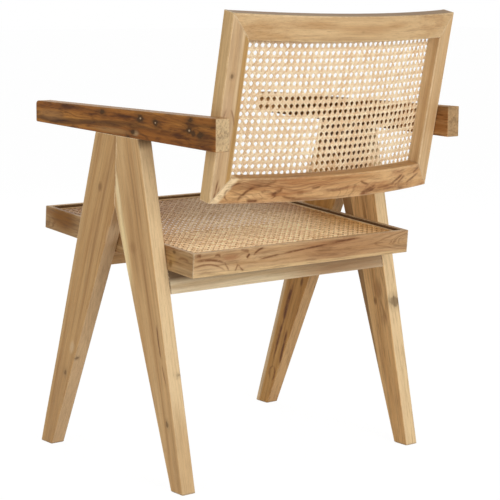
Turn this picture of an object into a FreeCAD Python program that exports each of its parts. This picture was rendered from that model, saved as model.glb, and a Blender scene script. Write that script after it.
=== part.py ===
import FreeCAD, Part
import math
import os

Vec = FreeCAD.Vector

# Sides, seen from the left: y runs backwards from the crotch of the legs, z upwards from the floor
chair_width = 548.0  # over the outer faces of the two sides
side_thickness = 28.0  # legs and armrests
crotch_height = 468.0
seam_lean = 8.0  # how far the seam between the legs leans back on its way up

# Front legs
front_foot_reach = 247.5  # crotch to the front edge of the foot
front_foot_depth = 34.5
front_top_reach = 59.0  # crotch to the front edge under the armrest
front_bevel_width = 13.0
front_bevel_depth = 1.4
front_bevel_full_height = 190.0  # the bevel has its full width above this
front_bevel_end_height = 60.0  # and runs out here

# Rear legs
rear_foot_reach = 198.5  # crotch to the rear edge of the foot
rear_foot_depth = 32.0
rear_top_reach = 71.5  # crotch to the rear edge under the armrest
rear_bevel_depth = 1.6  # at the crotch
rear_bevel_rise = 82.0  # the bevel starts this far above the crotch
rear_bevel_outer_drop = 223.0  # and runs out this far below it on the outer face
rear_bevel_inner_drop = 350.0  # and this far below it on the inner face

leg_edge_radius = 2.6
foot_chamfer = 1.6

# Armrests
arm_top_height = 638.4
arm_front_reach = 253.5  # crotch to the front end
arm_rear_overhang = 24.6  # past the back frame, along the top
arm_front_height = 38.5
arm_rear_height = 54.0
arm_nose_radius = 7.0  # upper front corner
arm_chin_radius = 3.0  # lower front corner
arm_edge_radius = 1.6

# Seat frame, which leans back and fills the gap between the sides
seat_front_height = 441.0  # floor to the top of the front edge
seat_front_reach = 267.5  # crotch to the front edge
seat_depth = 460.0  # along the slope
seat_slope = 4.24  # degrees
seat_rail_height = 42.0
seat_rail_width = 32.0
seat_rim_width = 9.0  # the raised rim round the cane
seat_rim_height = 6.0  # from the face of the cane up to the rim
seat_edge_radius = 1.6

# Stretchers that carry the seat
stretcher_height = 40.0
stretcher_thickness = 30.0
stretcher_inset = 1.0  # behind the outer faces of the legs
stretcher_edge_radius = 1.6

# Back frame, bowed backwards in plan and reclined between the armrests
back_base_reach = 231.8  # crotch to the lower rear edge at the stiles
back_base_height = 495.0  # floor to the same edge
back_recline = 11.5  # degrees
back_height = 315.3  # along the slope
back_bow = 31.0  # depth of the bow over the full width
back_thickness = 25.5
back_rail_height = 43.0
back_stile_width = 33.0
back_rabbet_width = 12.0  # from the opening to the outer side of the reed groove
back_edge_chamfer = 1.4

# Cane panels and the reeds that hold their edges down
cane_thickness = 2.0
cane_opening_count = 12  # across a panel, in two interleaved grids much coarser than the real webbing
cane_opening_share = 0.69  # side of an opening, as a share of the way to the next line of openings
reed_width = 4.2
reed_depth = 5.0  # held in the groove, below the back of the cane
reed_crown = 2.6  # standing above the back of the cane
reed_edge = 1.2  # how far the edges of the reeds are eased
panel_clearance = 0.1

# Dowels and screws
dowel_clearance = 0.05
dowel_end_gap = 0.4
dowel_chamfer = 0.8
arm_dowel_diameter = 10.0
arm_dowel_in_leg = 25.0
arm_dowel_in_arm = 20.0
arm_dowel_spacing = 30.0
pair_dowel_count = 2  # on each side
pair_dowel_diameter = 10.0
pair_dowel_depth = 24.0
stretcher_dowel_diameter = 8.0
stretcher_dowel_in_leg = 15.0
stretcher_dowel_in_bar = 25.0
stretcher_dowel_spacing = 18.0
seat_dowel_count = 2  # at each corner
seat_dowel_diameter = 6.0
seat_dowel_depth = 13.0
back_dowel_diameter = 8.0
back_dowel_depth = 12.0
mount_dowel_diameter = 8.0
mount_dowel_in_arm = 16.0
mount_dowel_in_stile = 18.0
mount_dowel_spacing = 24.0
screw_diameter = 4.5
screw_in_leg = 18.0
screw_head_diameter = 8.6
screw_head_height = 2.8
screw_slot_length = 5.2
screw_slot_width = 1.2
screw_slot_depth = 1.2

# Shared helpers
FAR = 3000.0  # longer than anything in the chair
overrun = 1.0  # how far a cut starts outside a face
UP = Vec(0, 0, 1)
ACROSS = Vec(1, 0, 0)
side_gap = chair_width - 2 * side_thickness
inner_face = side_gap / 2
outer_face = inner_face + side_thickness


def steep_line(y_low, z_low, y_high, z_high):
    """A leg's edge in side view, as (offset, slope) with y = offset + slope * z."""
    slope = (y_high - y_low) / (z_high - z_low)
    return y_low - slope * z_low, slope


def flat_line(y_front, z_front, y_rear, z_rear):
    """A bar's edge in side view, as (offset, slope) with z = offset + slope * y."""
    slope = (z_rear - z_front) / (y_rear - y_front)
    return z_front - slope * y_front, slope


def along(line, value):
    return line[0] + line[1] * value


def crossing(steep, flat):
    """Where a leg's edge meets a bar's edge in side view, as (y, z)."""
    y = (steep[0] + steep[1] * flat[0]) / (1 - steep[1] * flat[1])
    return y, along(flat, y)


def middle(line_a, line_b):
    return (line_a[0] + line_b[0]) / 2, (line_a[1] + line_b[1]) / 2


def rounded_face(corners):
    """A plane face from (point, corner radius) pairs, given in order."""
    edges = []
    starts = []
    count = len(corners)
    for i, (corner, radius) in enumerate(corners):
        to_last = (corners[i - 1][0] - corner).normalize()
        to_next = (corners[(i + 1) % count][0] - corner).normalize()
        if radius == 0:
            starts.append((corner, corner))
            continue
        half = to_last.getAngle(to_next) / 2
        inward = (to_last + to_next).normalize()
        centre = corner + inward * (radius / math.sin(half))
        enter = corner + to_last * (radius / math.tan(half))
        leave = corner + to_next * (radius / math.tan(half))
        edges.append(Part.Arc(enter, centre - inward * radius, leave).toShape())
        starts.append((enter, leave))
    for i in range(count):
        edges.append(Part.LineSegment(starts[i - 1][1], starts[i][0]).toShape())
    return Part.Face(Part.Wire(Part.__sortEdges__(edges)))


def side_prism(outline, x_low, x_high, radius=0):
    """A side view outline of (y, z) points, pushed out across the chair."""
    face = rounded_face([(Vec(x_low, y, z), radius) for y, z in outline])
    return face.extrude(ACROSS * (x_high - x_low))


def half_space(p, q, r, outward):
    """All that lies beyond the plane through three points, on the outward side."""
    normal = (q - p).cross(r - p).normalize()
    if normal.dot(outward) < 0:
        normal = -normal
    u = (q - p).normalize() * FAR
    v = normal.cross(u)
    loop = [p + u + v, p - u + v, p - u - v, p + u - v, p + u + v]
    return Part.Face(Part.makePolygon(loop)).extrude(normal * FAR)


def round_edges(solid, radius, lines):
    """Rounds the edges that lie on the given lines, each a pair of points."""
    chosen = []
    for edge in solid.Edges:
        ends = [vertex.Point for vertex in edge.Vertexes]
        if any(all(end.distanceToLine(p, q - p) < 1e-3 for end in ends) for p, q in lines):
            chosen.append(edge)
    return solid.makeFillet(radius, chosen)


def mirrored(shape):
    return shape.mirror(Vec(), ACROSS)


def both_sides(shapes):
    return shapes + [mirrored(shape) for shape in shapes]


def cut_all(shape, tools):
    """Cuts every tool out of a piece."""
    return shape.cut(Part.makeCompound(tools))


def spread(low, high, count):
    """Places that divide a length evenly, without its ends."""
    return [low + (high - low) * step / (count + 1) for step in range(1, count + 1)]


class Peg:
    """A dowel across a joint: its solid, and the bore for it in both pieces."""

    def __init__(self, centre, axis, behind, ahead, diameter):
        self.axis = Vec(axis).normalize()
        self.start = centre - self.axis * behind
        self.length = behind + ahead
        self.radius = diameter / 2

    def solid(self):
        rod = Part.makeCylinder(self.radius, self.length, self.start, self.axis)
        rims = [edge for edge in rod.Edges if isinstance(edge.Curve, Part.Circle)]
        return rod.makeChamfer(dowel_chamfer, rims)

    def bore(self):
        start = self.start - self.axis * dowel_end_gap
        length = self.length + 2 * dowel_end_gap
        return Part.makeCylinder(self.radius + dowel_clearance, length, start, self.axis)


def solids_of(pegs):
    return [peg.solid() for peg in pegs]


def bores_of(pegs):
    return [peg.bore() for peg in pegs]


# Side view lines that several pieces share
back_at_arm = back_base_reach + (arm_top_height - back_base_height) * math.tan(math.radians(back_recline))
arm_rear_reach = back_at_arm + arm_rear_overhang
arm_underside = flat_line(
    -arm_front_reach, arm_top_height - arm_front_height,
    arm_rear_reach, arm_top_height - arm_rear_height,
)
front_top = (-front_top_reach, along(arm_underside, -front_top_reach))
rear_top = (rear_top_reach, along(arm_underside, rear_top_reach))
seam_top = (seam_lean, along(arm_underside, seam_lean))
crotch = (0.0, crotch_height)
front_leg_front = steep_line(-front_foot_reach, 0, *front_top)
front_leg_rear = steep_line(front_foot_depth - front_foot_reach, 0, *crotch)
rear_leg_front = steep_line(rear_foot_reach - rear_foot_depth, 0, *crotch)
rear_leg_rear = steep_line(rear_foot_reach, 0, *rear_top)
seat_fall = math.tan(math.radians(seat_slope))
seat_top = (seat_front_height - seat_fall * seat_front_reach, -seat_fall)
seat_underside = (seat_top[0] - seat_rail_height / math.cos(math.radians(seat_slope)), -seat_fall)


def on_face(x, line, z):
    """The point of a leg's edge at one height, on the face at x."""
    return Vec(x, along(line, z), z)


def leg_blank(outline, rounded_line):
    """A tapered leg with a chamfered foot and one pair of rounded long edges."""
    blank = side_prism(outline, inner_face, outer_face)
    foot = [edge for edge in blank.Edges if all(abs(v.Z) < 1e-6 for v in edge.Vertexes)]
    blank = blank.makeChamfer(foot_chamfer, foot)
    top = arm_top_height
    lines = [(on_face(x, rounded_line, 0), on_face(x, rounded_line, top)) for x in (inner_face, outer_face)]
    return round_edges(blank, leg_edge_radius, lines)


def front_leg():
    """The front leg, bevelled along both of its front edges down to near the foot."""
    outline = [
        (-front_foot_reach, 0), (front_foot_depth - front_foot_reach, 0), crotch, seam_top, front_top,
    ]
    leg = leg_blank(outline, front_leg_rear)
    low, high = front_bevel_end_height, front_bevel_full_height
    for face, outward in ((outer_face, ACROSS), (inner_face, -ACROSS)):
        wide = Vec(0, front_bevel_width, 0)
        deep = -outward * front_bevel_depth
        bevel = half_space(
            on_face(face, front_leg_front, low) + wide,
            on_face(face, front_leg_front, high) + wide,
            on_face(face, front_leg_front, high) + deep,
            outward,
        )
        run_out = half_space(
            on_face(face, front_leg_front, low),
            on_face(face, front_leg_front, high) + wide,
            on_face(face, front_leg_front, high) + deep,
            outward,
        )
        leg = leg.cut(bevel.common(run_out))
    return leg


def rear_leg():
    """The rear leg, with a bevel on both sides of its front edge that is deepest at the crotch."""
    outline = [
        (rear_foot_reach - rear_foot_depth, 0), (rear_foot_reach, 0), rear_top, seam_top, crotch,
    ]
    leg = leg_blank(outline, rear_leg_rear)
    seam = steep_line(*crotch, *seam_top)
    sides = ((outer_face, ACROSS, rear_bevel_outer_drop), (inner_face, -ACROSS, rear_bevel_inner_drop))
    for face, outward, drop in sides:
        bevel = half_space(
            on_face(face, seam, crotch_height + rear_bevel_rise),
            on_face(face, rear_leg_front, crotch_height - drop),
            on_face(face, seam, crotch_height) - outward * rear_bevel_depth,
            outward,
        )
        leg = leg.cut(bevel)
    return leg


def armrest():
    """The armrest: level on top, deeper towards the rear, with a rounded nose."""
    ends = [
        (-arm_front_reach, arm_top_height - arm_front_height, arm_chin_radius),
        (arm_rear_reach, arm_top_height - arm_rear_height, 0),
        (arm_rear_reach, arm_top_height, 0),
        (-arm_front_reach, arm_top_height, arm_nose_radius),
    ]
    face = rounded_face([(Vec(inner_face, y, z), radius) for y, z, radius in ends])
    blank = face.extrude(ACROSS * side_thickness)
    return blank.makeFillet(arm_edge_radius, blank.Edges)


def stretcher_outline(edge, inward):
    """A stretcher's section under the seat, square to nothing but flush with the leg's outer edge."""
    face = (edge[0] + inward * stretcher_inset, edge[1])
    lower = (seat_underside[0] - stretcher_height, seat_underside[1])
    y_top, z_top = crossing(face, seat_underside)
    y_low, z_low = crossing(face, lower)
    across = inward * stretcher_thickness
    drop = across * seat_underside[1]
    return [(y_top, z_top), (y_low, z_low), (y_low + across, z_low + drop), (y_top + across, z_top + drop)]


def centre_of(outline):
    return tuple(sum(values) / len(outline) for values in zip(*outline))


front_stretcher_outline = stretcher_outline(front_leg_front, 1)
rear_stretcher_outline = stretcher_outline(rear_leg_rear, -1)


def arm_pegs():
    """Upright dowels between the left legs and their armrest, two in each leg."""
    pegs = []
    for low, high in ((-front_top_reach, seam_lean), (seam_lean, rear_top_reach)):
        for side in (-1, 1):
            y = (low + high + side * arm_dowel_spacing) / 2
            place = Vec((inner_face + outer_face) / 2, y, along(arm_underside, y))
            pegs.append(Peg(place, UP, arm_dowel_in_leg, arm_dowel_in_arm, arm_dowel_diameter))
    return pegs


def pair_pegs():
    """Dowels across the seam of the left legs, spread below the upright ones."""
    low = Vec((inner_face + outer_face) / 2, *crotch)
    seam = Vec(low.x, *seam_top) - low
    free = seam.Length - arm_dowel_in_leg
    seam.normalize()
    axis = seam.cross(ACROSS)
    places = [low + seam * run for run in spread(0, free, pair_dowel_count)]
    return [Peg(place, axis, pair_dowel_depth, pair_dowel_depth, pair_dowel_diameter) for place in places]


def stretcher_pegs():
    """Level dowels from both stretchers into the left legs."""
    pegs = []
    for outline in (front_stretcher_outline, rear_stretcher_outline):
        y, z = centre_of(outline)
        lean = Vec(0, outline[0][0] - outline[1][0], outline[0][1] - outline[1][1]).normalize()
        for side in (-1, 1):
            place = Vec(inner_face, y, z) + lean * (side * stretcher_dowel_spacing / 2)
            pegs.append(Peg(
                place, ACROSS, stretcher_dowel_in_bar, stretcher_dowel_in_leg, stretcher_dowel_diameter,
            ))
    return pegs


# Seat, made flat with its front edge at y = 0 and its top at z = 0, then set on its slope
seat_half = side_gap / 2
seat_place = FreeCAD.Placement(
    Vec(0, -seat_front_reach, seat_front_height), FreeCAD.Rotation(ACROSS, -seat_slope),
)
seat_floor = -(seat_rim_height + cane_thickness)  # the ledge under the cane
seat_groove_width = reed_width + 2 * panel_clearance
seat_groove_floor = seat_floor - reed_depth - panel_clearance


def set_on_seat(shape):
    shape = shape.copy()
    shape.Placement = seat_place.multiply(shape.Placement)
    return shape


def mitred_bar(section, length):
    """A bar along x with its outer face at y = 0, mitred at both ends; the section is (y, z, radius)."""
    half = length / 2
    bar = rounded_face([(Vec(-half, y, z), radius) for y, z, radius in section]).extrude(ACROSS * length)
    for end in (-1, 1):
        corner = Vec(end * half, 0, 0)
        inward = Vec(-end, 1, 0)
        bar = bar.cut(half_space(corner, corner + inward, corner + UP, Vec(end, 1, 0)))
    return bar


def seat_ring(section):
    """Four mitred bars round the seat, by side."""
    wide = mitred_bar(section, side_gap)
    long = mitred_bar(section, seat_depth)
    turn = {"front": 0, "left": 90, "rear": 180, "right": 270}
    place = {
        "front": Vec(0, 0, 0),
        "left": Vec(seat_half, seat_depth / 2, 0),
        "rear": Vec(0, seat_depth, 0),
        "right": Vec(-seat_half, seat_depth / 2, 0),
    }
    ring = {}
    for side, angle in turn.items():
        bar = (wide if side in ("front", "rear") else long).copy()
        bar.rotate(Vec(), UP, angle)
        bar.translate(place[side])
        ring[side] = bar
    return ring


def seat_corner_pegs():
    """Dowels across the mitres, spread between the reed groove and the underside."""
    pegs = []
    inset = seat_rail_width / 2
    for x_side in (-1, 1):
        for y, y_side in ((inset, -1), (seat_depth - inset, 1)):
            for z in spread(seat_groove_floor, -seat_rail_height, seat_dowel_count):
                place = Vec(x_side * (seat_half - inset), y, z)
                axis = Vec(x_side, -y_side, 0)
                pegs.append(Peg(place, axis, seat_dowel_depth, seat_dowel_depth, seat_dowel_diameter))
    return pegs


def seat_frame():
    """The four rails of the seat, with a rim, a ledge for the cane and a groove for the reeds."""
    groove_end = seat_rim_width + seat_groove_width
    section = [
        (0, 0, seat_edge_radius),
        (0, -seat_rail_height, seat_edge_radius),
        (seat_rail_width, -seat_rail_height, seat_edge_radius),
        (seat_rail_width, seat_floor, 0),
        (groove_end, seat_floor, 0),
        (groove_end, seat_groove_floor, 0),
        (seat_rim_width, seat_groove_floor, 0),
        (seat_rim_width, 0, seat_edge_radius),
    ]
    bores = bores_of(seat_corner_pegs())
    return {side: set_on_seat(cut_all(bar, bores)) for side, bar in seat_ring(section).items()}


def seat_reeds():
    """The four reeds that hold the edges of the seat cane."""
    low, high = seat_floor - reed_depth, seat_floor + reed_crown
    near = seat_rim_width + panel_clearance
    far = near + reed_width
    section = [(near, low, 0), (far, low, 0), (far, high, reed_edge), (near, high, reed_edge)]
    return {side: set_on_seat(bar) for side, bar in seat_ring(section).items()}


def cane_openings(width, height):
    """The openings of a cane panel, as (low, high) ends across it and along it from the panel's middle."""
    across = cane_opening_count
    rows = max(1, round(across * height / width))
    step_across, step_along = width / (2 * across), height / (2 * rows)
    half_across, half_along = step_across * cane_opening_share / 2, step_along * cane_opening_share / 2
    openings = []
    for row in range(1 - rows, rows):
        for column in range(1 - across, across):
            if (row + rows + column + across) % 2 == 0:
                s, t = column * step_across, row * step_along
                openings.append(((s - half_across, s + half_across), (t - half_along, t + half_along)))
    return openings


def seat_cane():
    """The seat panel as a sheet with a grid of openings, on the ledge of the rails."""
    edge = seat_rim_width + seat_groove_width + panel_clearance
    width, depth = side_gap - 2 * edge, seat_depth - 2 * edge
    sheet = Part.makeBox(width, depth, cane_thickness, Vec(-width / 2, edge, seat_floor))
    tools = []
    for (x_low, x_high), (y_low, y_high) in cane_openings(width, depth):
        corner = Vec(x_low, seat_depth / 2 + y_low, seat_floor - overrun)
        tools.append(Part.makeBox(x_high - x_low, y_high - y_low, cane_thickness + 2 * overrun, corner))
    return set_on_seat(cut_all(sheet, tools))


def screw_places():
    """Where the left rail is screwed to its two legs: middle of the leg, middle of the rail."""
    line = ((seat_top[0] + seat_underside[0]) / 2, seat_top[1])
    legs = (middle(front_leg_front, front_leg_rear), middle(rear_leg_front, rear_leg_rear))
    return [Vec(inner_face - seat_rail_width, *crossing(leg, line)) for leg in legs]


def screw(place):
    """A screw from the inner face of the left rail into a leg, with a cross in its sunk head."""
    head = Part.makeCylinder(screw_head_diameter / 2, screw_head_height, place, ACROSS)
    shank = Part.makeCylinder(screw_diameter / 2, seat_rail_width + screw_in_leg, place, ACROSS)
    slots = []
    for size_y, size_z in ((screw_slot_length, screw_slot_width), (screw_slot_width, screw_slot_length)):
        corner = place - Vec(0, size_y / 2, size_z / 2)
        slots.append(Part.makeBox(screw_slot_depth, size_y, size_z, corner))
    return cut_all(head.fuse(shank).removeSplitter(), slots)


def screw_bore(place):
    """The sunk hole for a screw, through the rail and into the leg."""
    head_radius = screw_head_diameter / 2 + panel_clearance
    start = place - ACROSS * overrun
    head = Part.makeCylinder(head_radius, screw_head_height + overrun, start, ACROSS)
    length = seat_rail_width + screw_in_leg + dowel_end_gap
    shank = Part.makeCylinder(screw_diameter / 2 + dowel_clearance, length, place, ACROSS)
    return head.fuse(shank)


# Back, made upright with its lower rear edge at y = 0, z = 0 at the stiles, then reclined
back_half = side_gap / 2
back_place = FreeCAD.Placement(
    Vec(0, back_base_reach, back_base_height), FreeCAD.Rotation(ACROSS, -back_recline),
)
rear_radius = (back_half ** 2 + back_bow ** 2) / (2 * back_bow)
front_radius = rear_radius - back_thickness
bow_centre = Vec(0, back_bow - rear_radius, 0)
opening_angle = math.asin((back_half - back_stile_width) / rear_radius)
full_angle = math.asin((back_half + overrun) / front_radius)
cane_radius = front_radius + cane_thickness  # back of the cane
rabbet_angle = opening_angle + back_rabbet_width / front_radius
groove_angle = (reed_width + 2 * panel_clearance) / front_radius
groove_height = reed_width + 2 * panel_clearance
rabbet_low = back_rail_height - back_rabbet_width
rabbet_high = back_height - rabbet_low


def set_on_back(shape):
    shape = shape.copy()
    shape.Placement = back_place.multiply(shape.Placement)
    return shape


def bow_point(radius, angle, z):
    return bow_centre + Vec(radius * math.sin(angle), radius * math.cos(angle), z)


def turned(r_low, r_high, z_low, z_high, angle_low, angle_high, chamfer=0):
    """A bar that follows the bow, with a rectangular section and chamfered long edges."""
    r_in, r_out = r_low + chamfer, r_high - chamfer
    z_in, z_out = z_low + chamfer, z_high - chamfer
    if chamfer:
        loop = (
            (r_in, z_low), (r_out, z_low), (r_high, z_in), (r_high, z_out),
            (r_out, z_high), (r_in, z_high), (r_low, z_out), (r_low, z_in),
        )
    else:
        loop = ((r_low, z_low), (r_high, z_low), (r_high, z_high), (r_low, z_high))
    points = [bow_point(r, 0, z) for r, z in loop]
    face = Part.Face(Part.makePolygon(points + points[:1]))
    face.rotate(bow_centre, UP, -math.degrees(angle_low))
    return face.revolve(bow_centre, -UP, math.degrees(angle_high - angle_low))


def chamfer_upright(shape, size):
    """Chamfers the edges that stand upright before the back is reclined."""
    upright = [edge for edge in shape.Edges if abs(edge.tangentAt(edge.FirstParameter).dot(UP)) > 0.999]
    return shape.makeChamfer(size, upright)


def mitre_points(z_inner, z_outer):
    """Three points of the mitre at a left corner: the inner corner's edge, and the outer rear corner."""
    inner_rear = bow_point(rear_radius, opening_angle, z_inner)
    inner_front = bow_point(front_radius, opening_angle, z_inner)
    outer_rear = bow_point(rear_radius, math.asin(back_half / rear_radius), z_outer)
    return inner_rear, inner_front, outer_rear


top_mitre = mitre_points(back_height - back_rail_height, back_height)
bottom_mitre = mitre_points(back_rail_height, 0)


def back_corner_pegs():
    """One dowel across each mitre of the left side, in the middle of the joint."""
    pegs = []
    for inner_rear, inner_front, outer_rear in (top_mitre, bottom_mitre):
        inner = (inner_rear + inner_front) * 0.5
        outer = outer_rear + (inner_front - inner_rear) * 0.5
        axis = (outer_rear - inner_rear).cross(inner_front - inner_rear)
        pegs.append(Peg((inner + outer) * 0.5, axis, back_dowel_depth, back_dowel_depth, back_dowel_diameter))
    return pegs


def cane_rabbet():
    """What the back frame loses for the cane and its reeds."""
    before = front_radius - back_thickness
    floor = cane_radius + panel_clearance
    groove_floor = cane_radius + reed_depth + panel_clearance
    rabbet = turned(before, floor, rabbet_low, rabbet_high, -rabbet_angle, rabbet_angle)
    groove = turned(before, groove_floor, rabbet_low, rabbet_high, -rabbet_angle, rabbet_angle)
    island_angle = rabbet_angle - groove_angle
    island_low = rabbet_low + groove_height
    island_high = rabbet_high - groove_height
    island = turned(before, groove_floor, island_low, island_high, -island_angle, island_angle)
    return [rabbet, groove.cut(island)]


def back_stile():
    """The left stile: its outer face is flat on the armrest, its inner face is square to the bow."""
    blank = turned(front_radius, rear_radius, 0, back_height, opening_angle, full_angle)
    beyond = Vec(back_half, 0, 0)
    blank = blank.cut(half_space(beyond, beyond + Vec(0, 1, 0), beyond + UP, ACROSS))
    blank = chamfer_upright(blank, back_edge_chamfer)
    blank = blank.cut(half_space(*top_mitre, Vec(-1, 0, 1)))
    return blank.cut(half_space(*bottom_mitre, Vec(-1, 0, -1)))


def back_rail(z_low, mitre, up):
    """A rail of the back, mitred to both stiles."""
    rail = turned(
        front_radius, rear_radius, z_low, z_low + back_rail_height, -full_angle, full_angle, back_edge_chamfer,
    )
    beyond = half_space(*mitre, Vec(1, 0, -up))
    return cut_all(rail, both_sides([beyond]))


def back_frame():
    """The stiles and rails of the back, with the rabbet for the cane and the corner bores."""
    frame = {
        "left_stile": back_stile(),
        "right_stile": mirrored(back_stile()),
        "top_rail": back_rail(back_height - back_rail_height, top_mitre, 1),
        "bottom_rail": back_rail(0, bottom_mitre, -1),
    }
    tools = cane_rabbet() + both_sides(bores_of(back_corner_pegs()))
    return {name: set_on_back(cut_all(piece, tools)) for name, piece in frame.items()}


def back_reeds():
    """The reeds of the back: top and bottom ones run through, side ones fit between them."""
    r_low = cane_radius - reed_crown
    r_high = cane_radius + reed_depth
    gap_angle = panel_clearance / front_radius
    outer = rabbet_angle - gap_angle
    inner = outer - reed_width / front_radius
    low = rabbet_low + panel_clearance
    high = rabbet_high - panel_clearance
    side = turned(r_low, r_high, low + groove_height, high - groove_height, inner, outer)
    reeds = {
        "bottom": turned(r_low, r_high, low, low + reed_width, -outer, outer, reed_edge),
        "top": turned(r_low, r_high, high - reed_width, high, -outer, outer, reed_edge),
        "left": chamfer_upright(side, reed_edge),
    }
    reeds["right"] = mirrored(reeds["left"])
    return {side: set_on_back(reed) for side, reed in reeds.items()}


def back_cane():
    """The back panel as a sheet with a grid of openings, following the bow."""
    angle = rabbet_angle - groove_angle - panel_clearance / front_radius
    low = rabbet_low + groove_height + panel_clearance
    high = rabbet_high - groove_height - panel_clearance
    sheet = turned(front_radius, cane_radius, low, high, -angle, angle)
    half_way = (low + high) / 2
    tools = []
    for (s_low, s_high), (z_low, z_high) in cane_openings(2 * angle * cane_radius, high - low):
        tools.append(turned(
            front_radius - overrun, cane_radius + overrun, half_way + z_low, half_way + z_high,
            s_low / cane_radius, s_high / cane_radius,
        ))
    return set_on_back(cut_all(sheet, tools))


def mount_pegs():
    """Dowels from the left armrest into the stile, one above the other along the stile."""
    outer_front = bow_centre.y + math.sqrt(front_radius ** 2 - back_half ** 2)
    foot = back_place.multVec(Vec(back_half, outer_front / 2, 0))
    head = back_place.multVec(Vec(back_half, outer_front / 2, back_height))
    stile = steep_line(foot.y, foot.z, head.y, head.z)
    arm_middle = ((arm_underside[0] + arm_top_height) / 2, arm_underside[1] / 2)
    place = Vec(back_half, *crossing(stile, arm_middle))
    rise = (head - foot).normalize() * (mount_dowel_spacing / 2)
    return [
        Peg(place + rise * side, ACROSS, mount_dowel_in_stile, mount_dowel_in_arm, mount_dowel_diameter)
        for side in (-1, 1)
    ]


def chair():
    """Every piece of the chair by name; the right side mirrors the left."""
    arm, pair, bar, mount = arm_pegs(), pair_pegs(), stretcher_pegs(), mount_pegs()
    places = screw_places()
    screw_bores = [screw_bore(place) for place in places]
    side_bores = bores_of(arm + pair + bar) + screw_bores
    left = {
        "front_leg": cut_all(front_leg(), side_bores),
        "rear_leg": cut_all(rear_leg(), side_bores),
        "armrest": cut_all(armrest(), bores_of(arm + mount)),
    }
    pieces = {}
    for name, shape in left.items():
        pieces["left_" + name] = shape
        pieces["right_" + name] = mirrored(shape)

    bar_bores = both_sides(bores_of(bar))
    outlines = {"front_stretcher": front_stretcher_outline, "rear_stretcher": rear_stretcher_outline}
    for name, outline in outlines.items():
        blank = side_prism(outline, -inner_face, inner_face, stretcher_edge_radius)
        pieces[name] = cut_all(blank, bar_bores)

    for side, rail in seat_frame().items():
        pieces["seat_" + side + "_rail"] = cut_all(rail, both_sides(screw_bores))
    for side, reed in seat_reeds().items():
        pieces["seat_" + side + "_reed"] = reed
    pieces["seat_cane"] = seat_cane()

    for name, piece in back_frame().items():
        pieces["back_" + name] = cut_all(piece, both_sides(bores_of(mount)))
    for side, reed in back_reeds().items():
        pieces["back_" + side + "_reed"] = reed
    pieces["back_cane"] = back_cane()

    seat_corner = [set_on_seat(solid) for solid in solids_of(seat_corner_pegs())]
    back_corner = [set_on_back(solid) for solid in solids_of(back_corner_pegs())]
    groups = {
        "armrest_dowels": both_sides(solids_of(arm)),
        "leg_pair_dowels": both_sides(solids_of(pair)),
        "stretcher_dowels": both_sides(solids_of(bar)),
        "seat_corner_dowels": seat_corner,
        "back_corner_dowels": both_sides(back_corner),
        "back_mount_dowels": both_sides(solids_of(mount)),
        "seat_screws": both_sides([screw(place) for place in places]),
    }
    for name, solids in groups.items():
        pieces[name] = Part.makeCompound(solids)
    return pieces


def write_pieces(pieces):
    """Puts the origin under the middle of the whole chair and writes one file for each piece."""
    box = Part.makeCompound(list(pieces.values())).optimalBoundingBox(False, False)
    move = Vec(-box.Center.x, -box.Center.y, -box.ZMin)
    os.makedirs("parts", exist_ok=True)
    for name, shape in pieces.items():
        shape.translate(move)
        shape.exportStep("parts/" + name + ".step")
        print(name, len(shape.Solids), shape.isValid(), round(shape.Volume))
    print("box", round(box.XLength, 2), round(box.YLength, 2), round(box.ZLength, 2))


write_pieces(chair())
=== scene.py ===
import math
import random

import bpy
from mathutils import Matrix, Vector


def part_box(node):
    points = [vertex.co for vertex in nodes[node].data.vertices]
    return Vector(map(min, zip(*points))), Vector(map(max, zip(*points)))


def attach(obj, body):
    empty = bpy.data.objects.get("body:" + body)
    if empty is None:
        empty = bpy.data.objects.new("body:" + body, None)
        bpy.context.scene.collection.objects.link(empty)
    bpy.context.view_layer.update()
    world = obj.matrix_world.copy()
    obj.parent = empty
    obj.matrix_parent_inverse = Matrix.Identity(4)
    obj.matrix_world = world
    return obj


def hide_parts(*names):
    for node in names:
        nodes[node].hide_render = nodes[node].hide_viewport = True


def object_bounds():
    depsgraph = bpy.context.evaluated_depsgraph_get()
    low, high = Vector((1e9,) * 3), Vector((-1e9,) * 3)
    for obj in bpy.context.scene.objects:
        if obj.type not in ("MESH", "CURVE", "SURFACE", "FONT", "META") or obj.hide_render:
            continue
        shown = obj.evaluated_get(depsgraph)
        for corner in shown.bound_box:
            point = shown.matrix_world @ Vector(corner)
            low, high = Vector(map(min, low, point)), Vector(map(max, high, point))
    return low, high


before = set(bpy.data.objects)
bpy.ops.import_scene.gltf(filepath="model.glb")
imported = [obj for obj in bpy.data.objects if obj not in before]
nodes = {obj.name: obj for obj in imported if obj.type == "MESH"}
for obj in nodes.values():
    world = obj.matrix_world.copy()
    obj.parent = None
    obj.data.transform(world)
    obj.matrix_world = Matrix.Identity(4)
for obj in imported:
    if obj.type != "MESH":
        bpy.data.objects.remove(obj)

cad_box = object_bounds()
MM = 0.001
UP = Vector((0, 0, 1))
LEFT = Vector((1, 0, 0))
REAR = Vector((0, 1, 0))
WHITE = (1, 1, 1)

# Camera
IMAGE_SIZE = 500
SENSOR = 36.0
camera_azimuth = math.radians(141.18)
camera_elevation = math.radians(8.47)
camera_roll = math.radians(0.42)
camera_distance = 2.87046
camera_target = Vector((0.09748, 0.12787, 0.41174))
focal_pixels = 1663.63
principal_x = 250.10
principal_y = 241.11

# Light: a level of 1 makes a white face square to the lamp render white
world_level = 0.42
lamps = {
    "key": dict(azimuth=178, elevation=17, distance=3.6, size=1.6, level=0.46),
    "side": dict(azimuth=95, elevation=25, distance=3.4, size=2.2, level=0.16),
    "front": dict(azimuth=-20, elevation=35, distance=3.6, size=2.4, level=0.18),
}
floor_size = 30.0
floor_tone = 0.90
floor_roughness = 0.9
floor_glow = 0.92  # share of the floor's look that is plain white
floor_white = 1.045  # makes up for the share that takes the shadow

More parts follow.
